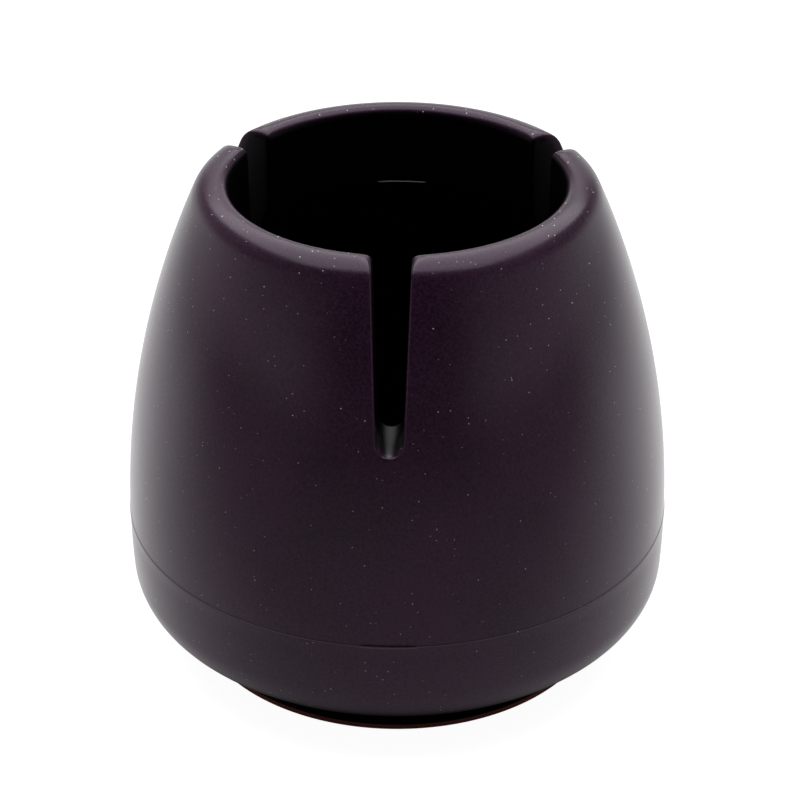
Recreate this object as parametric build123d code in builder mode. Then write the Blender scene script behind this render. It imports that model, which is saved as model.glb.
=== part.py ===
from build123d import *

import os
from math import asin, degrees, sqrt

# A soft slip-on cap for a furniture leg: a bell of moulded rubber whose slotted mouth
# grips the leg, standing on a thin hard disc that slides over the floor.
# The origin is on the floor at the middle of the disc, and +Z runs up the leg.
# All sizes are in millimetres.

# Bell, inside
mouth_radius = 11.22
land_height = 29.0
hollow_undercut = 2.88
hollow_height = 20.1
floor_height = 6.7

# Bell, outside
wall = 4.87
cap_height = 34.65
shoulder_height = 21.6
belly_height = 8.7
flank_radius = 61.2
underside_height = 2.7
heel_radius = 3.3

# Lip of the mouth, with its width before it is rounded
lip_width = 1.92
lip_radius = 1.9
lip_inner_chamfer = 0.4

# Slots that part the mouth into flaps
slot_count = 3
slot_mouth_width = 2.5
slot_floor_height = 23.2
slot_end_radius = 0.87
slot_flare_radius = 0.65

# Foot, stepped in from the belly, and the disc bonded under it
foot_inset = 4.27
disc_thickness = 0.4

# Seam of the two mould halves, and the mark of the gate on it, turned from the front slot
seam_height = 10.0
seam_width = 0.24
seam_ridge = 0.07
gate_width = 4.1
gate_height = 0.2
gate_proud = 0.12
gate_turn = -1.0

# How far the flares run out above the lip, which they cross at a slight slope, and how far
# the cutter of a slot reaches past the rubber
flare_run_out = 0.05
cutter_reach = 4.0

# Sizes that follow from the ones above. A turn is the lean of the flank's line from upright.
hollow_radius = mouth_radius + hollow_undercut
body_radius = hollow_radius + wall
foot_radius = body_radius - foot_inset
flare_height = cap_height + flare_run_out
flank_centre = body_radius - flank_radius
heel_turn = degrees(asin((belly_height - underside_height) / flank_radius))
shoulder_turn = degrees(asin((shoulder_height - belly_height) / flank_radius))
seam_radius = flank_centre + sqrt(flank_radius**2 - (seam_height - belly_height) ** 2)
gate_sweep = degrees(gate_width / seam_radius)

# One slot as a cutter: tapered sides, a round end, and corners that flare into the lip
with BuildPart() as slot_cutter:
    with BuildSketch(Plane.XZ) as slot_outline:
        with Locations((0, slot_floor_height + slot_end_radius)):
            Circle(slot_end_radius)
        with Locations((0, flare_height)):
            Rectangle(slot_mouth_width, cutter_reach, align=(Align.CENTER, Align.MIN))
        make_hull()
        with Locations((0, flare_height)):
            Rectangle(slot_mouth_width + 2 * cutter_reach, cutter_reach, align=(Align.CENTER, Align.MIN))
        mouth_corners = slot_outline.vertices().group_by(Axis.Y)[-2].sort_by(Axis.X)[1:-1]
        fillet(mouth_corners, slot_flare_radius)
    extrude(amount=body_radius + cutter_reach)

# Bell, with its foot and its hollow in one section
with BuildPart() as cap_body:
    with BuildSketch(Plane.XZ) as section:
        with BuildLine():
            flank_middle = (flank_centre, belly_height)
            flank = CenterArc(flank_middle, flank_radius, -heel_turn, heel_turn + shoulder_turn)
            shoulder = TangentArc(flank @ 1, (mouth_radius + lip_width, cap_height), tangent=flank % 1)
            Polyline(
                shoulder @ 1,
                (0, cap_height),
                (0, disc_thickness),
                (foot_radius, disc_thickness),
                (foot_radius, underside_height),
                flank @ 0,
            )
        make_face()
        with BuildLine():
            Polyline(
                (0, floor_height),
                (hollow_radius, floor_height),
                (hollow_radius, hollow_height),
                (mouth_radius, land_height),
                (mouth_radius, cap_height),
                (0, cap_height),
                close=True,
            )
        make_face(mode=Mode.SUBTRACT)
        fillet(section.vertices().sort_by_distance(flank @ 0)[0], heel_radius)
        fillet(section.vertices().sort_by_distance(shoulder @ 1)[0], lip_radius)
        chamfer(section.vertices().sort_by_distance((mouth_radius, cap_height))[0], lip_inner_chamfer)
    revolve(axis=Axis.Z)

    # Fine ridge where the mould halves meet
    with BuildSketch(Plane.XZ):
        with BuildLine(Location((seam_radius, seam_height, 0))):
            Polyline((-seam_ridge, -seam_width), (seam_ridge, 0), (-seam_ridge, seam_width), close=True)
        make_face()
    revolve(axis=Axis.Z)

    # Trimmed gate, a low bar on the seam under the front slot
    with BuildSketch(Plane.XZ.rotated((0, 0, gate_turn - 90 - gate_sweep / 2))):
        with Locations((seam_radius, seam_height)):
            Rectangle(2 * gate_proud, gate_height)
    revolve(axis=Axis.Z, revolution_arc=gate_sweep)

    with PolarLocations(0, slot_count):
        add(slot_cutter.part, mode=Mode.SUBTRACT)

# Thin hard disc under the foot
with BuildPart() as slip_disc:
    Cylinder(foot_radius, disc_thickness, align=(Align.CENTER, Align.CENTER, Align.MIN))

cap_body.part.label = "cap_body"
slip_disc.part.label = "slip_disc"

os.makedirs("parts", exist_ok=True)
export_step(cap_body.part, "parts/cap_body.step")
export_step(slip_disc.part, "parts/slip_disc.step")
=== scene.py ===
# %% [markdown]
# # A slip-on cap for a furniture leg
# The object is a bell of soft, near-black rubber that is pushed over the end of a chair leg, and a thin
# brown disc under it that slides over the floor. This file dresses the plain CAD solids: it builds a finer
# bell and disc, gives each its material, and sets up a small white studio with the camera.

import math

import bmesh
import bpy
import numpy as np
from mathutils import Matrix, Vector


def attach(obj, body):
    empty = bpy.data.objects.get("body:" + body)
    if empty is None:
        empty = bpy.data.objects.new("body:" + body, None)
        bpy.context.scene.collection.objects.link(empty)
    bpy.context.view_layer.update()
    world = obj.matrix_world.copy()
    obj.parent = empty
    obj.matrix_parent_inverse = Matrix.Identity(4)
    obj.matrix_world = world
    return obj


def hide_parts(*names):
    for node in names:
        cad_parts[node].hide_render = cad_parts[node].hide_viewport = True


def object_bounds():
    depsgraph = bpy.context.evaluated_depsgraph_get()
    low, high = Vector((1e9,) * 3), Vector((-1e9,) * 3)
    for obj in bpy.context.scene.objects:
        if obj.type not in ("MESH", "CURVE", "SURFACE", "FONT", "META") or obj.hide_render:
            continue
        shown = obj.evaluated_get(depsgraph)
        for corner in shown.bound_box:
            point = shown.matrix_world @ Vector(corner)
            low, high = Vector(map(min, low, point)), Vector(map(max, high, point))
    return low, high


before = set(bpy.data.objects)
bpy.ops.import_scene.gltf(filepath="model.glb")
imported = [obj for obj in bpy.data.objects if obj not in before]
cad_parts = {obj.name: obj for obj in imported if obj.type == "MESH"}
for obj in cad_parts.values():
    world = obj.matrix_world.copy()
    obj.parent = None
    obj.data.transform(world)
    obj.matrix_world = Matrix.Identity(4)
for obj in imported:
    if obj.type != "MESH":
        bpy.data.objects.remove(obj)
cad_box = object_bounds()
MM = 0.001
PER_MM = 1 / MM
print("CAD box, mm:", [round(value / MM, 2) for corner in cad_box for value in corner])

# %% [markdown]
# ## The camera
# The product was photographed from about 30 degrees above the floor with a long lens, so its lines hardly
# converge. Two settings give that look: the elevation sets how open the mouth's ellipse is, and the distance
# sets how much smaller the far rim is than the near one. The lens then only sets the size in the picture.

# %% Camera
CAMERA_AZIMUTH = math.radians(1.6)
CAMERA_ELEVATION = math.radians(30.214)
CAMERA_DISTANCE = 167.37 * MM
AIM_HEIGHT = 17.44 * MM
AIM_SIDE = 0.19 * MM
LENS = 107.88
SENSOR_WIDTH = 36.0
NEAREST_SHOWN = 10 * MM

camera = bpy.data.cameras.new("camera")
camera.lens = LENS
camera.sensor_width = SENSOR_WIDTH
camera.clip_start = NEAREST_SHOWN
camera_object = bpy.data.objects.new("camera", camera)
bpy.context.scene.collection.objects.link(camera_object)
bpy.context.scene.camera = camera_object

to_right = Vector((math.cos(CAMERA_AZIMUTH), math.sin(CAMERA_AZIMUTH), 0))
backwards = Vector(
    (
        math.sin(CAMERA_AZIMUTH) * math.cos(CAMERA_ELEVATION),
        -math.cos(CAMERA_AZIMUTH) * math.cos(CAMERA_ELEVATION),
        math.sin(CAMERA_ELEVATION),
    )
)
aim = Vector((0, 0, AIM_HEIGHT)) + to_right * AIM_SIDE
camera_object.location = aim + backwards * CAMERA_DISTANCE
camera_object.rotation_euler = (-backwards).to_track_quat("-Z", "Y").to_euler()
print("camera at, mm:", [round(value / MM, 1) for value in camera_object.location])

# %% [markdown]
# ## The bell's section
# The bell is a body of revolution before its mouth is slotted, so its form is one closed curve of height
# against radius. Each stretch is a circular arc that runs smoothly into the next: one long arc for the flank,
# a round at the heel, and two small rounds that make the lip. A function of height for the outside and one
# for the inside are all that the later steps need, because every level of the wall lies between them.
# All sizes here are in millimetres.

# %% Section
BODY_RADIUS = 18.97
BELLY_HEIGHT = 8.7
CAP_HEIGHT = 34.65
FLANK_RADIUS = 60.6
UNDERSIDE_HEIGHT = 2.7
HEEL_RADIUS = 3.3
LIP_RADIUS = 1.9
MOUTH_RADIUS = 11.22
LAND_HEIGHT = 29.0
HOLLOW_RADIUS = 14.1
HOLLOW_HEIGHT = 20.1
FLOOR_HEIGHT = 6.7
FLOOR_CORNER = 1.5
FOOT_RADIUS = 14.7
FOOT_HEIGHT = 0.4

FLANK_CENTRE = BODY_RADIUS - FLANK_RADIUS


def rounded_centre(height, radius):
    """Radius from the axis of the centre of a round at that height that touches the flank's arc from inside."""
    reach = FLANK_RADIUS - radius
    return FLANK_CENTRE + math.sqrt(reach**2 - (height - BELLY_HEIGHT) ** 2)


LIP_HEIGHT = CAP_HEIGHT - LIP_RADIUS
CREST_RADIUS = rounded_centre(LIP_HEIGHT, LIP_RADIUS)
LIP_LEAN = math.atan2(LIP_HEIGHT - BELLY_HEIGHT, CREST_RADIUS - FLANK_CENTRE)
LIP_START = LIP_HEIGHT + LIP_RADIUS * math.sin(LIP_LEAN)
INNER_LIP_RADIUS = CREST_RADIUS - MOUTH_RADIUS
INNER_LIP_HEIGHT = CAP_HEIGHT - INNER_LIP_RADIUS
HEEL_HEIGHT = UNDERSIDE_HEIGHT + HEEL_RADIUS
HEEL_CENTRE = rounded_centre(HEEL_HEIGHT, HEEL_RADIUS)
HEEL_LEAN = math.atan2(HEEL_HEIGHT - BELLY_HEIGHT, HEEL_CENTRE - FLANK_CENTRE)


def arc_radius(height, centre, centre_height, radius):
    """Radius from the axis on an arc: the centre's, plus the root of radius squared less height squared."""
    return centre + np.sqrt(np.maximum(radius**2 - (height - centre_height) ** 2, 0))


def outer_radius(height):
    """Outside of the bell: the flank's arc, and above the lip's start the lip's outer round."""
    flank = arc_radius(height, FLANK_CENTRE, BELLY_HEIGHT, FLANK_RADIUS)
    lip = arc_radius(height, CREST_RADIUS, LIP_HEIGHT, LIP_RADIUS)
    return np.where(height > LIP_START, lip, flank)


def inner_radius(height):
    """Inside of the bell: a straight hollow, a cone that narrows it, the gripping land and the inner round.

    The round adds its radius less the root of (radius squared less the squared rise above its start).
    """
    share = np.clip((height - HOLLOW_HEIGHT) / (LAND_HEIGHT - HOLLOW_HEIGHT), 0, 1)
    wall = HOLLOW_RADIUS + share * (MOUTH_RADIUS - HOLLOW_RADIUS)
    rise = np.maximum(height - INNER_LIP_HEIGHT, 0)
    return wall + INNER_LIP_RADIUS - np.sqrt(np.maximum(INNER_LIP_RADIUS**2 - rise**2, 0))


print("crest at radius", round(CREST_RADIUS, 3), "and lip starts at height", round(LIP_START, 3))

# %% [markdown]
# ## The slots
# Three slots let the mouth open over a leg. Each is narrow and round at the bottom, widens a little upwards,
# and flares where it meets the lip, because a sharp rubber corner would tear. Its outline is flat, cut square
# through the wall, so half its width is another function of height.

# %% Slot outline
SLOT_COUNT = 3
SLOT_MOUTH_WIDTH = 2.5
SLOT_FLOOR = 23.2
SLOT_END_RADIUS = 0.87
SLOT_FLARE = 0.65
SLOT_CENTRE = SLOT_FLOOR + SLOT_END_RADIUS
SECTOR = 2 * math.pi / SLOT_COUNT
FRONT = -math.pi / 2

slot_rise = CAP_HEIGHT - SLOT_CENTRE
slot_reach = math.hypot(SLOT_MOUTH_WIDTH / 2, slot_rise)
tangent_turn = math.atan2(SLOT_MOUTH_WIDTH / 2, slot_rise) + math.acos(SLOT_END_RADIUS / slot_reach)
SLOT_LEAN = tangent_turn - math.pi / 2
TANGENT = np.array([math.sin(tangent_turn), math.cos(tangent_turn)]) * SLOT_END_RADIUS + [0, SLOT_CENTRE]
FLARE_HEIGHT = CAP_HEIGHT - SLOT_FLARE
FLARE_X = TANGENT[0] + (FLARE_HEIGHT - TANGENT[1]) * math.tan(SLOT_LEAN) + SLOT_FLARE / math.cos(SLOT_LEAN)


def slot_half_width(height):
    """Half the slot's width: a round end, straight leaning sides, and a quarter round at the lip.

    The end is the root of (radius squared less squared height from its centre), the side grows with the
    tangent of its lean, and the flare is its centre's place less such a root.
    """
    end = np.sqrt(np.maximum(SLOT_END_RADIUS**2 - (height - SLOT_CENTRE) ** 2, 0))
    side = TANGENT[0] + (height - TANGENT[1]) * math.tan(SLOT_LEAN)
    flare = FLARE_X - np.sqrt(np.maximum(SLOT_FLARE**2 - (height - FLARE_HEIGHT) ** 2, 0))
    width = np.where(height < TANGENT[1], end, side)
    return np.where(height > FLARE_HEIGHT + SLOT_FLARE * math.sin(SLOT_LEAN), flare, width)


print("slot side leans", round(math.degrees(SLOT_LEAN), 2), "degrees")

# %% [markdown]
# ## Levels and columns
# A mesh of levels and columns follows the form best when its lines lie close together where the surface
# turns fast. The levels are therefore spaced by angle on every round and evenly on the straight stretches,
# and the columns crowd beside each slot, where the edges are softened later. The steps from an edge are in
# millimetres: they are divided by the length that they are laid along, which makes them shares of it.

# %% Levels and columns
EDGE_STEPS = np.array([0.0, 0.045, 0.09, 0.135, 0.18, 0.23, 0.32, 0.5, 0.8, 1.3])
HALF_ARC = 17.0
WALL_STEPS = np.array([0.0, 0.045, 0.09, 0.135, 0.18, 0.28, 0.6, 1.2, 2.0])
WALL_THICKNESS = 4.0
COLUMNS_PER_HALF = 42
SLOT_END_LEVELS = 9
SLOT_SIDE_LEVELS = 24
LAND_EDGE_LEVELS = np.linspace(-0.2, 0.2, 9)
LOWER_LIP_TURNS = np.linspace(LIP_LEAN, math.radians(43), 5)
INNER_LIP_TURNS = np.radians(np.linspace(0, 90, 10))


def joined(*parts):
    """One row of numbers from several, in rising order and without repeats."""
    return np.unique(np.round(np.concatenate(parts), 9))


flap_levels = joined(
    SLOT_CENTRE - SLOT_END_RADIUS * np.cos(np.linspace(0, math.pi / 2 - SLOT_LEAN, SLOT_END_LEVELS)),
    np.linspace(TANGENT[1], LIP_START, SLOT_SIDE_LEVELS),
    LAND_HEIGHT + LAND_EDGE_LEVELS,
    LIP_HEIGHT + LIP_RADIUS * np.sin(LOWER_LIP_TURNS),
    INNER_LIP_HEIGHT + INNER_LIP_RADIUS * np.sin(INNER_LIP_TURNS),
)
near_edge = EDGE_STEPS / HALF_ARC
half_shares = np.concatenate([near_edge, np.linspace(near_edge[-1], 1, COLUMNS_PER_HALF + 1)[1:]])
across = np.concatenate([half_shares / 2, 1 - half_shares[-2::-1] / 2])
near_face = WALL_STEPS / WALL_THICKNESS
through = np.concatenate([near_face, 1 - near_face[-2::-1]])
print(len(flap_levels), "levels,", len(across), "columns a flap,", len(through), "steps through the wall")

# %% [markdown]
# ## The flaps
# At each level a flap is a closed ring: along the outside, through the wall beside one slot, back along the
# inside and out through the wall beside the other slot. The rings of all levels, stacked, are a tube whose
# last ring closes to a line, the crest of the lip. So one grid, ring by level, is a whole flap.


# %% Flap grid
def polar(radius, turn, height):
    """Points from radius, turn and height: x is radius times cosine, y is radius times sine, z is the height."""
    return np.stack(np.broadcast_arrays(radius * np.cos(turn), radius * np.sin(turn), height), -1)


def flap_grid(slot_turn):
    """Grid of a flap that starts at the slot at that turn: levels down its first side, each a closed ring.

    On a circle of radius R a slot of half width w ends at the turn asin(w / R), so the arc at each level runs
    from that turn beside one slot to the same turn short of the next.
    """
    height = flap_levels[:, None]
    half = slot_half_width(height)
    rings = []
    for radius, shares in ((outer_radius(height), across), (inner_radius(height), across[::-1])):
        edge = np.arcsin(np.clip(half / radius, 0, 1))
        rings.append(polar(radius, slot_turn + edge + shares * (SECTOR - 2 * edge), height))
    outside, inside = rings
    far_wall = outside[:, -1:] + (inside[:, :1] - outside[:, -1:]) * through[None, 1:-1, None]
    near_wall = inside[:, -1:] + (outside[:, :1] - inside[:, -1:]) * through[None, 1:-1, None]
    return np.concatenate([outside, far_wall, inside, near_wall], axis=1)


flaps = [flap_grid(FRONT + SECTOR * index) for index in range(SLOT_COUNT)]
print("a flap's grid:", flaps[0].shape)

# %% [markdown]
# ## Below the slots
# Under the slots the bell is a plain turned form. Its outside and inside are each a profile carried round the
# axis, with the same columns as the flaps so that the parts meet point to point. The levels lie close together
# under the slots' ends and at the seam, where the mould's two halves met.

# %% Lower shell
SEAM_HEIGHT = 10.0
SEAM_STEPS = np.array([0.0, 0.01, 0.02, 0.03, 0.04, 0.055, 0.075, 0.1, 0.15, 0.25, 0.45, 0.7, 1.0])
SLOT_END_STEPS = np.array([0.0, 0.045, 0.09, 0.135, 0.18, 0.3, 0.7])
FLANK_LEVELS = 26
BELLY_LEVELS = 8
HEEL_LEVELS = 15
FOOT_LEVELS = 4
CONE_LEVELS = 8
HOLLOW_LEVELS = 12
HOLLOW_CORNER_LEVELS = 7
HOLLOW_FLOOR_RINGS = 5


def turned(profile, turns):
    """A profile of radius and height, one point a row, carried round the axis through all the turns."""
    return polar(profile[:, :1], turns[None, :], profile[:, 1:])


def arc_points(centre, centre_height, radius, start, end, count):
    """Radius and height of points on an arc, by equal angles: its centre's, plus radius times cosine and sine."""
    turn = np.linspace(start, end, count)
    return np.stack([centre + radius * np.cos(turn), centre_height + radius * np.sin(turn)], -1)


ring_turns = np.concatenate(
    [FRONT + SECTOR * (index + across[:-1]) for index in range(SLOT_COUNT)] + [[FRONT + 2 * math.pi]]
)
outer_levels = joined(
    SLOT_FLOOR - SLOT_END_STEPS,
    np.linspace(SEAM_HEIGHT + SEAM_STEPS[-1], SLOT_FLOOR - SLOT_END_STEPS[-1], FLANK_LEVELS),
    SEAM_HEIGHT + SEAM_STEPS,
    SEAM_HEIGHT - SEAM_STEPS,
    np.linspace(HEEL_HEIGHT + HEEL_RADIUS * math.sin(HEEL_LEAN), SEAM_HEIGHT - SEAM_STEPS[-1], BELLY_LEVELS),
)[::-1]
outer_profile = np.concatenate(
    [
        np.stack([outer_radius(outer_levels), outer_levels], -1),
        arc_points(HEEL_CENTRE, HEEL_HEIGHT, HEEL_RADIUS, HEEL_LEAN, -math.pi / 2, HEEL_LEVELS)[1:],
        np.linspace((HEEL_CENTRE, UNDERSIDE_HEIGHT), (FOOT_RADIUS, UNDERSIDE_HEIGHT), FOOT_LEVELS)[1:],
        np.linspace((FOOT_RADIUS, UNDERSIDE_HEIGHT), (FOOT_RADIUS, FOOT_HEIGHT), FOOT_LEVELS)[1:],
        np.linspace((FOOT_RADIUS, FOOT_HEIGHT), (0, FOOT_HEIGHT), FOOT_LEVELS)[1:],
    ]
)
corner_radius = HOLLOW_RADIUS - FLOOR_CORNER
corner_height = FLOOR_HEIGHT + FLOOR_CORNER
inner_profile = np.concatenate(
    [
        np.linspace((inner_radius(SLOT_FLOOR), SLOT_FLOOR), (HOLLOW_RADIUS, HOLLOW_HEIGHT), CONE_LEVELS),
        np.linspace((HOLLOW_RADIUS, HOLLOW_HEIGHT), (HOLLOW_RADIUS, corner_height), HOLLOW_LEVELS)[1:],
        arc_points(corner_radius, corner_height, FLOOR_CORNER, 0, -math.pi / 2, HOLLOW_CORNER_LEVELS)[1:],
        np.linspace((corner_radius, FLOOR_HEIGHT), (0, FLOOR_HEIGHT), HOLLOW_FLOOR_RINGS)[1:],
    ]
)
outer_shell = turned(outer_profile, ring_turns)
inner_shell = turned(inner_profile, ring_turns)
print("outside", outer_shell.shape, "inside", inner_shell.shape)

# %% [markdown]
# ## One closed mesh
# The grids share their points wherever they meet, so merging points that lie in the same place makes one
# closed skin. A grid's faces join each point to its neighbours along both sides. In a closed mesh every edge
# has a face on both sides, so counting the edges that don't tells whether a gap was left.

# %% Mesh helpers
SAME_PLACE = 2e-6


def grid_faces(rows, columns, first=0, closed=False):
    """Four-cornered faces of a grid with points numbered by rows from first. A closed grid's rows are rings."""
    index = np.arange(rows * columns).reshape(rows, columns) + first
    if closed:
        index = np.concatenate([index, index[:, :1]], axis=1)
    return np.stack([index[:-1, :-1], index[1:, :-1], index[1:, 1:], index[:-1, 1:]], -1).reshape(-1, 4)


def mesh_from_grids(name, grids):
    """One mesh from grids in mm, given as (points, closed): equal points merged and normals outwards."""
    points, faces, count = [], [], 0
    for grid, closed in grids:
        rows, columns = grid.shape[:2]
        points.append(grid.reshape(-1, 3))
        faces.append(grid_faces(rows, columns, count, closed))
        count += rows * columns
    mesh = bpy.data.meshes.new(name)
    mesh.from_pydata(np.concatenate(points) * MM, [], np.concatenate(faces).tolist())
    work = bmesh.new()
    work.from_mesh(mesh)
    bmesh.ops.remove_doubles(work, verts=work.verts, dist=SAME_PLACE * MM)
    bmesh.ops.recalc_face_normals(work, faces=work.faces)
    work.to_mesh(mesh)
    work.free()
    return mesh


def open_edges(mesh):
    """How many edges lack a face on one side. Every face names its edges, so a shared edge is named twice."""
    named = np.empty(len(mesh.loops), dtype=np.int32)
    mesh.loops.foreach_get("edge_index", named)
    return int((np.bincount(named, minlength=len(mesh.edges)) != 2).sum())


def points_of(mesh):
    """The mesh's points in mm, one a row."""
    points = np.empty(len(mesh.vertices) * 3)
    mesh.vertices.foreach_get("co", points)
    return points.reshape(-1, 3) / MM


def set_points(mesh, points):
    """Puts points in mm into the mesh."""
    mesh.vertices.foreach_set("co", (points * MM).ravel())
    mesh.update()


bell_grids = [(grid, True) for grid in flaps] + [(outer_shell, False), (inner_shell, False)]
bell_mesh = mesh_from_grids("bell", bell_grids)
print("bell:", len(bell_mesh.vertices), "points,", len(bell_mesh.polygons), "faces")
print("edges without a face on both sides:", open_edges(bell_mesh))

# %% [markdown]
# ## Soft edges on the slots
# A moulded edge is never sharp. To round all the slots' edges at once, think of two distances: how far a
# point is outside the turned wall, and how far it is inside a slot's opening. The rubber is where both are
# below zero. Joining the two distances by a quarter circle, instead of taking the greater, rounds the edge
# between them, and each point near it is moved along the slope of that joined distance until it is zero.

# %% Round the edges
EDGE_RADIUS = 0.18
ROUNDED_ABOVE = SLOT_FLOOR - 1.0
DRAWING_ROUNDS = 6
SLOPE_STEP = 1e-4
LEAST_SLOPE = 0.25


def wall_distance(radius, height):
    """How far a point lies outside the turned wall, below zero in the rubber.

    From a round that is the distance to its centre less its radius, and from a straight line the distance
    along the line's normal. The greater of the outer and the inner side's distance counts.
    """
    flank = np.hypot(radius - FLANK_CENTRE, height - BELLY_HEIGHT) - FLANK_RADIUS
    lip = np.hypot(radius - CREST_RADIUS, height - LIP_HEIGHT) - LIP_RADIUS
    on_lip = np.arctan2(height - LIP_HEIGHT, radius - CREST_RADIUS) > LIP_LEAN
    outer = np.where(on_lip, np.where(radius > CREST_RADIUS, lip, height - CAP_HEIGHT), flank)
    slope = np.array([LAND_HEIGHT - HOLLOW_HEIGHT, HOLLOW_RADIUS - MOUTH_RADIUS])
    slope /= np.hypot(*slope)
    throat = -(radius - MOUTH_RADIUS) * slope[0] - (height - LAND_HEIGHT) * slope[1]
    land = np.maximum(MOUTH_RADIUS - radius, throat)
    roll = np.hypot(radius - CREST_RADIUS, height - INNER_LIP_HEIGHT) - INNER_LIP_RADIUS
    on_roll = (height > INNER_LIP_HEIGHT) & (radius < CREST_RADIUS)
    return np.maximum(outer, np.where(on_roll, roll, land))


def slot_distance(across_slot, height):
    """How far a point lies inside a slot's opening, below zero in the rubber.

    At its end that is the end's radius less the distance to its centre, at its side the distance along the
    side's normal, and at its flare the distance to the flare's centre less the flare's radius.
    """
    offset = np.abs(across_slot)
    along = (offset - TANGENT[0]) * math.sin(SLOT_LEAN) + (height - TANGENT[1]) * math.cos(SLOT_LEAN)
    side = (TANGENT[0] - offset) * math.cos(SLOT_LEAN) + (height - TANGENT[1]) * math.sin(SLOT_LEAN)
    end = SLOT_END_RADIUS - np.hypot(offset, height - SLOT_CENTRE)
    from_x, from_height = offset - FLARE_X, height - FLARE_HEIGHT
    facing_slot = from_height * math.sin(SLOT_LEAN) > from_x * math.cos(SLOT_LEAN)
    flare = np.where(
        facing_slot & (from_x < 0),
        np.hypot(from_x, from_height) - SLOT_FLARE,
        -np.hypot(from_x, height - CAP_HEIGHT),
    )
    opening = np.where(along < 0, end, side)
    return np.where((from_height > 0) & (facing_slot | (from_x > 0)), flare, opening)


def rubber_distance(points):
    """The two distances joined by a quarter circle of the edge's radius.

    With the radius added to both, the root of the sum of their squares counts where both are above zero, and
    the greater one elsewhere. Then the radius is taken off again.
    """
    radius = np.hypot(points[:, 0], points[:, 1])
    turn = np.arctan2(points[:, 1], points[:, 0]) - FRONT
    turn = (turn + SECTOR / 2) % SECTOR - SECTOR / 2
    wall = wall_distance(radius, points[:, 2]) + EDGE_RADIUS
    slot = slot_distance(radius * np.sin(turn), points[:, 2]) + EDGE_RADIUS
    corner = np.hypot(np.maximum(wall, 0), np.maximum(slot, 0))
    return np.minimum(np.maximum(wall, slot), 0) + corner - EDGE_RADIUS


def slope_of(distance, points):
    """How fast the distance grows along x, y and z: the difference over two small steps, one to each side."""
    steps = np.eye(3) * SLOPE_STEP
    growth = [distance(points + step) - distance(points - step) for step in steps]
    return np.stack(growth, -1) / (2 * SLOPE_STEP)


def drawn_onto(points, distance):
    """Moves points onto the surface where the distance is zero.

    Each round takes off the distance times its slope, over the slope's square. The square is kept from being
    tiny, because the slope vanishes where two surfaces lie equally far away.
    """
    points = points.copy()
    for _ in range(DRAWING_ROUNDS):
        value = distance(points)
        slope = slope_of(distance, points)
        points -= value[:, None] * slope / np.maximum((slope**2).sum(-1, keepdims=True), LEAST_SLOPE)
    return points


points = points_of(bell_mesh)
near_slots = points[:, 2] > ROUNDED_ABOVE
before = points[near_slots].copy()
points[near_slots] = drawn_onto(before, rubber_distance)
moved = np.linalg.norm(points[near_slots] - before, axis=1)
left_over = np.abs(rubber_distance(points[near_slots]))
print("edges rounded: greatest move", round(moved.max(), 3), "mm, left over", left_over.max())

# %% [markdown]
# ## Seam, gate and land's edge
# The two halves of the mould leave a line round the bell, and the rubber came in through a gate that was
# trimmed to a low bar. The halves never meet quite flush: the lower one stands out by a few hundredths of a
# millimetre, a tiny ledge that falls off sharply above the seam and slowly below it, as half a bell curve
# does. The bar is a plateau with soft ends. Inside the back of the mouth, the lower edge of the gripping land
# is set in by as little, and light from the front slot makes it glint.

# %% Seam and gate
SEAM_LEDGE = 0.035
SEAM_ABOVE = 0.06
SEAM_BELOW = 0.5
GATE_WIDTH = 3.7
GATE_HALF_HEIGHT = 0.1
GATE_PROUD = 0.06
GATE_TURN = math.radians(-0.2)
GATE_EASE_OUT, GATE_EASE_IN, GATE_END_EASE = 0.05, 0.03, 0.1
LAND_EDGE_WIDTH = 3.4
LAND_EDGE_HALF_HEIGHT = 0.08
LAND_EDGE_DEPTH = 0.07
LAND_EDGE_EASE = 0.15
LAND_EDGE_REACH = 0.5


def smooth_step(value, low, high):
    """From 0 to 1 between low and high, without a corner: 3 s squared less 2 s cubed of the share s of the way."""
    share = np.clip((value - low) / (high - low), 0, 1)
    return share * share * (3 - 2 * share)


def seam_relief(points):
    """How far the surface stands out at the seam and the gate, in mm: the greater of the ledge and the bar.

    The ledge is its height times e to the power of minus the squared share of its reach above or below. The
    bar is its height times a smooth step across it and another at its ends.
    """
    radius = np.hypot(points[:, 0], points[:, 1])
    above = points[:, 2] - SEAM_HEIGHT
    drop = np.abs(above)
    turn = np.arctan2(points[:, 1], points[:, 0]) - FRONT - GATE_TURN
    along = np.abs((turn + math.pi) % (2 * math.pi) - math.pi) * radius
    ledge = SEAM_LEDGE * np.exp(-((above / np.where(above > 0, SEAM_ABOVE, SEAM_BELOW)) ** 2))
    bar = GATE_PROUD * smooth_step(-drop, -GATE_HALF_HEIGHT - GATE_EASE_OUT, -GATE_HALF_HEIGHT + GATE_EASE_IN)
    bar *= smooth_step(-along, -GATE_WIDTH / 2 - GATE_END_EASE, -GATE_WIDTH / 2 + GATE_END_EASE)
    return np.maximum(ledge, bar) * (radius > FOOT_RADIUS + 1)


def land_edge_relief(points):
    """How far the surface stands in at the land's lower edge, at the mouth's back, in mm.

    Its depth times e to the power of minus the squared share of its half height, and a smooth step at its ends.
    """
    rise = (points[:, 2] - LAND_HEIGHT) / LAND_EDGE_HALF_HEIGHT
    end = -LAND_EDGE_WIDTH / 2
    beside = smooth_step(-np.abs(points[:, 0]), end - LAND_EDGE_EASE, end + LAND_EDGE_EASE)
    inside = (points[:, 1] > 0) & (np.hypot(points[:, 0], points[:, 1]) < MOUTH_RADIUS + LAND_EDGE_REACH)
    return -LAND_EDGE_DEPTH * np.exp(-(rise**2)) * beside * inside


relief = seam_relief(points) + land_edge_relief(points)
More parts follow.
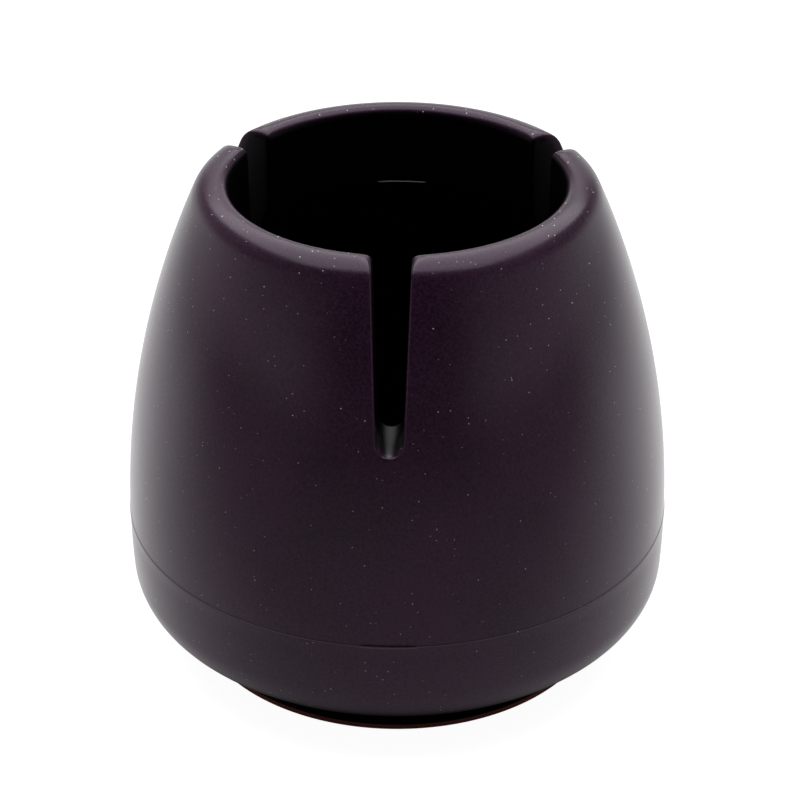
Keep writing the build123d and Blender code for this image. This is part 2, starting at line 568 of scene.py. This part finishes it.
# Points nearer the axis than a millimetre have no relief, so the least radius only keeps the share finite.
from_axis = np.maximum(np.hypot(points[:, 0], points[:, 1]), 1)
points[:, :2] *= (1 + relief / from_axis)[:, None]
set_points(bell_mesh, points)
print("relief from", round(relief.min(), 3), "to", round(relief.max(), 3), "mm")

# %% [markdown]
# ## The bell takes its place
# The fine bell replaces the plain one of the CAD solids. It is shaded smooth, except where two faces meet at
# more than forty degrees, which keeps the step of the foot crisp.

# %% Bell
SHARP_ANGLE = math.radians(40)


def smooth_object(name, mesh):
    """An object of the mesh, shaded smooth but for its sharp edges."""
    mesh.polygons.foreach_set("use_smooth", np.ones(len(mesh.polygons), dtype=bool))
    mesh.set_sharp_from_angle(angle=SHARP_ANGLE)
    piece = bpy.data.objects.new(name, mesh)
    bpy.context.scene.collection.objects.link(piece)
    return piece


bell = smooth_object("bell", bell_mesh)
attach(bell, "root")
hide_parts("cap_body")
print("bell's size, mm:", [round(value / MM, 2) for value in bell.dimensions])

# %% [markdown]
# ## Painted shade in the hollow
# The hollow and the slots get painted shade: near black colour and a darker reflection, for the shade inside.
# Each point stores how deep it lies in from the outside, from 0 on the skin to 1 from a millimetre in, and the
# material reads that value as the mask of this painted shade. The crest of the lip counts as skin all over.

# %% Depth of each point
SKIN_DEPTH = 0.1
FULL_DEPTH = 0.9
CREST_FADE = (0.4, 0.15)

radius = np.hypot(points[:, 0], points[:, 1])
under = (points[:, 2] < HEEL_HEIGHT) * (HEEL_CENTRE - radius)
depth_in = np.maximum(outer_radius(points[:, 2]) - radius, under)
crest = smooth_step(points[:, 2], CAP_HEIGHT - CREST_FADE[0], CAP_HEIGHT - CREST_FADE[1])
# the depth in, faded out at the crest, is the mask of the painted shade inside
inner_shade_values = smooth_step(depth_in, SKIN_DEPTH, FULL_DEPTH) * (1 - crest)
inner_shade_attribute = bell_mesh.attributes.new("inner_shade", "FLOAT", "POINT")
inner_shade_attribute.data.foreach_set("value", inner_shade_values.astype(np.float32))
print("points inside:", int((depth_in > FULL_DEPTH).sum()), "of", len(depth_in))

# %% [markdown]
# ## The slip disc
# A stamped disc of hard plastic is bonded under the foot. Its lower edge is eased so that it doesn't catch.

# %% Disc
DISC_EDGE = 0.08
DISC_RINGS = 6
DISC_SIDE_LEVELS = 3
DISC_EDGE_LEVELS = 5
DISC_COLUMNS = 241

edge_centre = FOOT_RADIUS - DISC_EDGE
disc_profile = np.concatenate(
    [
        np.linspace((0, FOOT_HEIGHT), (FOOT_RADIUS, FOOT_HEIGHT), DISC_RINGS),
        np.linspace((FOOT_RADIUS, FOOT_HEIGHT), (FOOT_RADIUS, DISC_EDGE), DISC_SIDE_LEVELS)[1:],
        arc_points(edge_centre, DISC_EDGE, DISC_EDGE, 0, -math.pi / 2, DISC_EDGE_LEVELS)[1:],
        np.linspace((edge_centre, 0), (0, 0), DISC_RINGS)[1:],
    ]
)
disc_grid = turned(disc_profile, np.linspace(0, 2 * math.pi, DISC_COLUMNS))
disc_mesh = mesh_from_grids("slip_disc_fine", [(disc_grid, False)])
disc = smooth_object("slip_disc_fine", disc_mesh)
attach(disc, "root")
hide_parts("slip_disc")
print("disc:", len(disc_mesh.polygons), "faces,", open_edges(disc_mesh), "open")

# %% [markdown]
# ## Materials
# Each material is a small network of nodes. One function adds a node with its settings and its links, and
# one turns a colour written as a hex value into the linear light that the renderer works in. The settings
# that come back in every network, such as multiplying, get a name here.

# %% Material helpers
MULTIPLY = {"operation": "MULTIPLY"}
GREATER = {"operation": "MAXIMUM"}
LESS = {"operation": "LESS_THAN"}
WITHIN = {"operation": "COMPARE"}
COLOURS = {"data_type": "RGBA"}
SMOOTHLY = {"interpolation_type": "SMOOTHSTEP"}
WHITE = (1, 1, 1, 1)


def linear(hex_colour):
    """Linear red, green, blue and alpha of an sRGB colour such as "2b2529": the standard's curve undone."""
    parts = [int(hex_colour[at : at + 2], 16) / 255 for at in (0, 2, 4)]
    return [value / 12.92 if value <= 0.04045 else ((value + 0.055) / 1.055) ** 2.4 for value in parts] + [1]


def add_node(tree, kind, settings=None, **inputs):
    """Adds a node with its properties, and gives inputs a value or a link. _2 is the input in place 2."""
    node = tree.nodes.new(kind)
    for name, value in (settings or {}).items():
        setattr(node, name, value)
    for name, value in inputs.items():
        socket = node.inputs[int(name[1:])] if name[0] == "_" else node.inputs[name.replace("_", " ")]
        if isinstance(value, bpy.types.NodeSocket):
            tree.links.new(value, socket)
        else:
            socket.default_value = value
    return node


def new_material(name):
    """An empty material with its node tree."""
    material = bpy.data.materials.new(name)
    material.use_nodes = True
    material.node_tree.nodes.clear()
    return material, material.node_tree


print("mid grey in linear light:", round(linear("808080")[0], 3))

# %% [markdown]
# ### Moulded rubber
# Thermoplastic rubber, injection moulded in a lightly blasted mould. It is nearly black with a violet cast,
# satin rather than glossy, and faintly mottled where the melt cooled at different speeds. The mottling is two
# noises: clouds some eight millimetres wide, which also change the gloss a little, and a fine one of a sixth
# of a millimetre. The real skin's pebbles are a few hundredths of a millimetre, too fine to show, so they are
# drawn at a quarter millimetre. Where the stored depth is 1, the colour is near black: painted shade inside.

# %% Rubber's skin
CLOUDS_PER_MM = 0.12
MOTTLES_PER_MM = 6.0
PEBBLES_PER_MM = 4.0
PEBBLE_HEIGHT = 0.02
CLOUD_SHARE = 0.5
DARKEST_BLOTCH, PALEST_BLOTCH = 0.58, 0.92
THIN_CLOUD, THICK_CLOUD = 0.3, 0.7
GLOSSIEST, DULLEST, INSIDE_ROUGHNESS = 0.23, 0.28, 0.38

rubber, tree = new_material("moulded_soft_rubber")
place = add_node(tree, "ShaderNodeTexCoord").outputs["Object"]
inner_shade = add_node(tree, "ShaderNodeAttribute", {"attribute_name": "inner_shade"}).outputs["Fac"]
clouds = add_node(tree, "ShaderNodeTexNoise", Vector=place, Scale=CLOUDS_PER_MM * PER_MM, Detail=3.0)
mottle = add_node(
    tree, "ShaderNodeTexNoise", Vector=place, Scale=MOTTLES_PER_MM * PER_MM, Detail=2.0, Roughness=0.6
)
pebbles = add_node(tree, "ShaderNodeTexNoise", Vector=place, Scale=PEBBLES_PER_MM * PER_MM, Detail=2.0)
blotches = add_node(
    tree,
    "ShaderNodeMath",
    {"operation": "MULTIPLY_ADD"},
    _0=clouds.outputs["Fac"],
    _1=CLOUD_SHARE,
    _2=mottle.outputs["Fac"],
)
tint = add_node(
    tree,
    "ShaderNodeMapRange",
    Value=blotches.outputs[0],
    From_Min=DARKEST_BLOTCH,
    From_Max=PALEST_BLOTCH,
)
skin_colour = add_node(
    tree,
    "ShaderNodeMix",
    COLOURS,
    Factor=tint.outputs["Result"],
    _6=linear("1d0e1c"),
    _7=linear("331b30"),
)
gloss = add_node(
    tree,
    "ShaderNodeMapRange",
    Value=clouds.outputs["Fac"],
    From_Min=THIN_CLOUD,
    From_Max=THICK_CLOUD,
    To_Min=GLOSSIEST,
    To_Max=DULLEST,
)
roughness = add_node(tree, "ShaderNodeMix", _0=inner_shade, _2=gloss.outputs["Result"], _3=INSIDE_ROUGHNESS)
pebbled = add_node(
    tree, "ShaderNodeBump", Height=pebbles.outputs["Fac"], Strength=0.12, Distance=PEBBLE_HEIGHT * MM
)
widths = [round(1 / per_mm, 2) for per_mm in (CLOUDS_PER_MM, MOTTLES_PER_MM, PEBBLES_PER_MM)]
print("clouds, mottle and pebbles are this wide, mm:", widths)

# %% [markdown]
# Dust settles on rubber and stays, most of all on what looks up. Each speck is the ball round a point of a
# Voronoi pattern, which shows where the surface cuts it. The points lie some four tenths of a millimetre
# apart. Four in ten have no ball, and the others have one of their own size, which grows on what faces up
# until it is a tenth of a millimetre wide. Sizes and distances here are shares of a cell. Dust stays out of
# the hollow.

# %% Dust
DUST_CELL = 0.38
EMPTY_SHARE = 0.4
LARGEST_SPECK = 0.095
GROWTH_ON_WALL, GROWTH_ON_LIP = 0.9, 1.5
STEEP, NEARLY_LEVEL = 0.2, 0.9
OUTSIDE_BELOW = 0.8

outside = add_node(tree, "ShaderNodeMath", LESS, _0=inner_shade, _1=OUTSIDE_BELOW).outputs[0]
cells = add_node(tree, "ShaderNodeTexVoronoi", Vector=place, Scale=PER_MM / DUST_CELL, Randomness=1.0)
kind = add_node(tree, "ShaderNodeSeparateColor", _0=cells.outputs["Color"]).outputs[0]
own_size = add_node(
    tree, "ShaderNodeMapRange", Value=kind, From_Min=EMPTY_SHARE, From_Max=1.0, To_Min=0.0, To_Max=LARGEST_SPECK
)
facing = add_node(tree, "ShaderNodeSeparateXYZ", _0=add_node(tree, "ShaderNodeNewGeometry").outputs["Normal"])
settled = add_node(
    tree,
    "ShaderNodeMapRange",
    Value=facing.outputs["Z"],
    From_Min=STEEP,
    From_Max=NEARLY_LEVEL,
    To_Min=GROWTH_ON_WALL,
    To_Max=GROWTH_ON_LIP,
)
size = add_node(tree, "ShaderNodeMath", MULTIPLY, _0=own_size.outputs["Result"], _1=settled.outputs["Result"])
speck = add_node(tree, "ShaderNodeMath", LESS, _0=cells.outputs["Distance"], _1=size.outputs[0])
dust = add_node(tree, "ShaderNodeMath", MULTIPLY, _0=speck.outputs[0], _1=outside).outputs[0]
print("dust: one speck in about", round(DUST_CELL**2 / ((1 - EMPTY_SHARE) * LARGEST_SPECK), 1), "square mm")

# %% [markdown]
# A few places get painted light. A pale line is painted along the seam all round, as a painted highlight.
# Where the gate was cut off, a dark line above it is painted shade and a paler line below it a painted
# highlight, and a pale band on the land's lower edge inside the back of the mouth is a painted glint. Each is a
# box in the object's own millimetres, so that it stays crisp whatever the mesh. The colours are laid one over
# the other, over the painted shade of the inside, with the dust last.

# %% Painted highlights and shade
GATE_SIDE = BODY_RADIUS * math.sin(GATE_TURN)
SEAM_HIGHLIGHT_HALF_HEIGHT = 0.04
GATE_HIGHLIGHT_DROP, GATE_HIGHLIGHT_HALF_HEIGHT = 0.07, 0.04
GATE_SHADE_RISE, GATE_SHADE_HALF_HEIGHT = 0.06, 0.045
GATE_REACH = 2
GLINT_HALF_HEIGHT = 0.05
GLINT_REACH = 1

spot = add_node(tree, "ShaderNodeSeparateXYZ", _0=place)


def box_mask(centre, half_size):
    """1 in a box and 0 outside: whether the point is within half the size, along x, y and z, multiplied."""
    mask = 1.0
    for at, middle, half in zip(spot.outputs, centre, half_size):
        within = add_node(tree, "ShaderNodeMath", WITHIN, _0=at, _1=middle * MM, _2=half * MM)
        mask = add_node(tree, "ShaderNodeMath", MULTIPLY, _0=within.outputs[0], _1=mask).outputs[0]
    return mask


# painted highlight: a pale line along the seam all round
seam_highlight_box = box_mask((0, 0, SEAM_HEIGHT), (2 * BODY_RADIUS, 2 * BODY_RADIUS, SEAM_HIGHLIGHT_HALF_HEIGHT))
painted_seam_highlight = add_node(tree, "ShaderNodeMath", MULTIPLY, _0=seam_highlight_box, _1=outside).outputs[0]
# painted highlight: a paler line just below the gate's bar
painted_gate_highlight = box_mask(
    (GATE_SIDE, -BODY_RADIUS, SEAM_HEIGHT - GATE_HIGHLIGHT_DROP), (GATE_WIDTH / 2, GATE_REACH, GATE_HIGHLIGHT_HALF_HEIGHT)
)
# painted shade: a dark line just above the gate's bar
painted_gate_shade = box_mask(
    (GATE_SIDE, -BODY_RADIUS, SEAM_HEIGHT + GATE_SHADE_RISE), (GATE_WIDTH / 2, GATE_REACH, GATE_SHADE_HALF_HEIGHT)
)
# painted highlight: a pale band where the land's lower edge glints
glint = box_mask((0, MOUTH_RADIUS, LAND_HEIGHT), (LAND_EDGE_WIDTH / 2, GLINT_REACH, GLINT_HALF_HEIGHT))

# painted shade inside, three painted highlights, painted shade above the gate, and real dust last
layers = [
    (inner_shade, "050305"),
    (glint, "8a8a8a"),
    (painted_seam_highlight, "453941"),
    (painted_gate_highlight, "48303a"),
    (painted_gate_shade, "0a0307"),
    (dust, "ccc4cc"),
]
colour = skin_colour.outputs[2]
for mask, hex_colour in layers:
    colour = add_node(tree, "ShaderNodeMix", COLOURS, Factor=mask, _6=colour, _7=linear(hex_colour)).outputs[2]
print("rubber's colour:", len(layers), "layers over the skin")

# %% [markdown]
# Rubber's refraction index is about that of any plastic. The finest pebbles of its skin, which no pattern here
# draws, keep a part of the light between them, so the specular level is below the usual half. What it
# reflects has a faint violet cast too, and in the hollow and the slots a darker tint gives painted shade.

# %% Rubber's shader
# violet tint on the skin; inside, the darker tint is painted shade that dims the reflection
reflection_tint_and_inner_shade = add_node(tree, "ShaderNodeMix", COLOURS, Factor=inner_shade, _6=linear("fde9ff"), _7=linear("59455d"))
shader = add_node(
    tree,
    "ShaderNodeBsdfPrincipled",
    Base_Color=colour,
    Roughness=roughness.outputs[0],
    Normal=pebbled.outputs["Normal"],
    IOR=1.5,
    Specular_IOR_Level=0.3,
    Specular_Tint=reflection_tint_and_inner_shade.outputs[2],
)
add_node(tree, "ShaderNodeOutputMaterial", Surface=shader.outputs["BSDF"])
bell_mesh.materials.append(rubber)
print("rubber:", len(tree.nodes), "nodes")

# %% [markdown]
# ### Hard slip plastic
# The disc is stamped from hard brown polyethylene sheet. The sheet is waxy and satin, so it shows its colour
# and hardly any reflection, with faint clouds two or three millimetres wide from its rolling.

# %% Disc plastic
SHEET_CLOUDS_PER_MM = 0.4

plastic, tree = new_material("stamped_hard_polyethylene")
place = add_node(tree, "ShaderNodeTexCoord").outputs["Object"]
clouds = add_node(tree, "ShaderNodeTexNoise", Vector=place, Scale=SHEET_CLOUDS_PER_MM * PER_MM, Detail=3.0)
colour = add_node(
    tree,
    "ShaderNodeMix",
    COLOURS,
    Factor=clouds.outputs["Fac"],
    _6=linear("62322a"),
    _7=linear("744037"),
)
shader = add_node(
    tree,
    "ShaderNodeBsdfPrincipled",
    Base_Color=colour.outputs[2],
    Roughness=0.6,
    IOR=1.5,
    Specular_IOR_Level=0.15,
)
add_node(tree, "ShaderNodeOutputMaterial", Surface=shader.outputs["BSDF"])
disc_mesh.materials.append(plastic)
print("disc plastic:", len(tree.nodes), "nodes")

# %% [markdown]
# ## The studio
# The cap stood on a white sheet with white walls at its sides, and the picture's white is the sheet's. What
# the rubber reflects is as important as what lights it. Its front wall shows the sheet just before it, which
# is dimmer there because the cap keeps the light from behind off it, and its sides show the bright sheet
# beside and behind it as pale rims. So the floor has two faces, chosen by the kind of ray: to the camera it
# is white, with a little real shading that holds the cap's shadow, and to the rubber it is a sheet whose
# light rises from front to back, falls off far away, and is gone under the cap.

# %% Floor
FLOOR_SIZE = 3.0
FRONT_LIGHT, BACK_LIGHT = 0.5, 1.5
FRONT_END, BACK_END = -40 * MM, 25 * MM
SHADE_CENTRE = (0, -4 * MM, 0)
SHADE_START, SHADE_END = 11.5 * MM, 21 * MM
FAR_START, FAR_END, FAR_LIGHT = 30 * MM, 250 * MM, 0.4
BACKDROP_START, BACKDROP_END = 60 * MM, 200 * MM
SHOWN_WHITE = 0.955

floor_mesh = bpy.data.meshes.new("floor")
corner = FLOOR_SIZE / 2
floor_mesh.from_pydata(
    [(-corner, -corner, 0), (corner, -corner, 0), (corner, corner, 0), (-corner, corner, 0)], [], [(0, 1, 2, 3)]
)
floor = bpy.data.objects.new("floor", floor_mesh)
bpy.context.scene.collection.objects.link(floor)
floor.location.z = cad_box[0].z


def backdrop_seen(tree, ray, behind):
    """How far a ray shows the white backdrop: wholly far behind the cap, if a shine or clear stuff sent it."""
    shiny = add_node(
        tree, "ShaderNodeMath", GREATER, _0=ray.outputs["Is Glossy Ray"], _1=ray.outputs["Is Transmission Ray"]
    )
    return add_node(tree, "ShaderNodeMath", MULTIPLY, _0=behind, _1=shiny.outputs[0]).outputs[0]


paper, tree = new_material("white_paper")
ray = add_node(tree, "ShaderNodeLightPath")
place = add_node(tree, "ShaderNodeTexCoord").outputs["Object"]
back = add_node(tree, "ShaderNodeSeparateXYZ", _0=place).outputs["Y"]
from_shade = add_node(tree, "ShaderNodeVectorMath", {"operation": "DISTANCE"}, _0=place, _1=SHADE_CENTRE)
reach = from_shade.outputs["Value"]
sheet_light = add_node(
    tree,
    "ShaderNodeMapRange",
    SMOOTHLY,
    Value=back,
    From_Min=FRONT_END,
    From_Max=BACK_END,
    To_Min=FRONT_LIGHT,
    To_Max=BACK_LIGHT,
)
under_cap = add_node(
    tree, "ShaderNodeMapRange", SMOOTHLY, Value=reach, From_Min=SHADE_START, From_Max=SHADE_END
)
far_away = add_node(
    tree,
    "ShaderNodeMapRange",
    SMOOTHLY,
    Value=reach,
    From_Min=FAR_START,
    From_Max=FAR_END,
    To_Min=1.0,
    To_Max=FAR_LIGHT,
)
shaded = add_node(
    tree, "ShaderNodeMath", MULTIPLY, _0=sheet_light.outputs["Result"], _1=under_cap.outputs["Result"]
)
faded = add_node(tree, "ShaderNodeMath", MULTIPLY, _0=shaded.outputs[0], _1=far_away.outputs["Result"])
behind = add_node(tree, "ShaderNodeMapRange", Value=back, From_Min=BACKDROP_START, From_Max=BACKDROP_END)
seen = backdrop_seen(tree, ray, behind.outputs["Result"])
strength = add_node(tree, "ShaderNodeMath", GREATER, _0=faded.outputs[0], _1=seen)
sheet = add_node(tree, "ShaderNodeEmission", Color=WHITE, Strength=strength.outputs[0])
faint = add_node(tree, "ShaderNodeBsdfDiffuse", Color=linear("808080"))
glow = add_node(tree, "ShaderNodeEmission", Color=WHITE, Strength=SHOWN_WHITE)
shown = add_node(tree, "ShaderNodeAddShader", _0=faint.outputs[0], _1=glow.outputs[0])
surface = add_node(
    tree, "ShaderNodeMixShader", _0=ray.outputs["Is Camera Ray"], _1=sheet.outputs[0], _2=shown.outputs[0]
)
add_node(tree, "ShaderNodeOutputMaterial", Surface=surface.outputs[0])
floor_mesh.materials.append(paper)
print("floor:", FLOOR_SIZE, "m wide, light", FRONT_LIGHT, "in front and", BACK_LIGHT, "behind")

# %% [markdown]
# The walls stand to the left and right, so the light that reaches the cap from around grows with how far a
# direction points sideways, and it fades upwards, because the walls are low. Towards the camera the studio
# is open and dark, which is why the upper front of the bell is its darkest part.

# %% World
OPEN_LIGHT, WALL_LIGHT = 0.09, 1.0
WALL_START, WALL_END = 0.34, 0.8
FADE_END, FADE_LIGHT = 0.35, 0.25
BACKDROP_EDGE, BACKDROP_FULL = 0.85, 0.97

world = bpy.data.worlds.new("tent")
world.use_nodes = True
tree = world.node_tree
tree.nodes.clear()
ray = add_node(tree, "ShaderNodeLightPath")
outwards = add_node(tree, "ShaderNodeTexCoord").outputs["Generated"]
direction = add_node(tree, "ShaderNodeSeparateXYZ", _0=outwards)
sideways = add_node(tree, "ShaderNodeMath", {"operation": "ABSOLUTE"}, _0=direction.outputs["X"])
walls = add_node(
    tree,
    "ShaderNodeMapRange",
    SMOOTHLY,
    Value=sideways.outputs[0],
    From_Min=WALL_START,
    From_Max=WALL_END,
    To_Min=OPEN_LIGHT,
    To_Max=WALL_LIGHT,
)
fading = add_node(
    tree,
    "ShaderNodeMapRange",
    SMOOTHLY,
    Value=direction.outputs["Z"],
    From_Min=0.0,
    From_Max=FADE_END,
    To_Min=1.0,
    To_Max=FADE_LIGHT,
)
tent_light = add_node(tree, "ShaderNodeMath", MULTIPLY, _0=walls.outputs["Result"], _1=fading.outputs["Result"])
behind = add_node(
    tree, "ShaderNodeMapRange", Value=direction.outputs["Y"], From_Min=BACKDROP_EDGE, From_Max=BACKDROP_FULL
)
seen = backdrop_seen(tree, ray, behind.outputs["Result"])
white = add_node(tree, "ShaderNodeMath", GREATER, _0=seen, _1=ray.outputs["Is Camera Ray"])
strength = add_node(tree, "ShaderNodeMath", GREATER, _0=tent_light.outputs[0], _1=white.outputs[0])
background = add_node(tree, "ShaderNodeBackground", Color=WHITE, Strength=strength.outputs[0])
add_node(tree, "ShaderNodeOutputWorld", Surface=background.outputs[0])
bpy.context.scene.world = world
print("walls give", WALL_LIGHT, "and the open front gives", OPEN_LIGHT)

# %% [markdown]
# One wide soft lamp hangs above and a little behind. The lip is the only part that turns up towards it, so
# it lights the lip's whole round with a broad sheen and leaves the front wall alone.

# %% Lamp
LAMP_PLACE = (0, 0.15, 0.425)
LAMP_AIM = (0, 0, 0.02)
LAMP_SIZE = 0.7
LAMP_POWER = 4.8

lamp = bpy.data.lights.new("overhead", "AREA")
lamp.shape = "SQUARE"
lamp.size = LAMP_SIZE
lamp.energy = LAMP_POWER
lamp_object = bpy.data.objects.new("overhead", lamp)
bpy.context.scene.collection.objects.link(lamp_object)
lamp_object.location = LAMP_PLACE
lamp_object.rotation_euler = (Vector(LAMP_AIM) - Vector(LAMP_PLACE)).to_track_quat("-Z", "Y").to_euler()

bpy.context.scene.view_settings.view_transform = "Standard"
lamp_distance = (Vector(LAMP_PLACE) - Vector(LAMP_AIM)).length
lamp_span = 2 * math.atan(LAMP_SIZE / 2 / lamp_distance)
print("seen from the cap the lamp is", round(math.degrees(lamp_span)), "degrees wide")
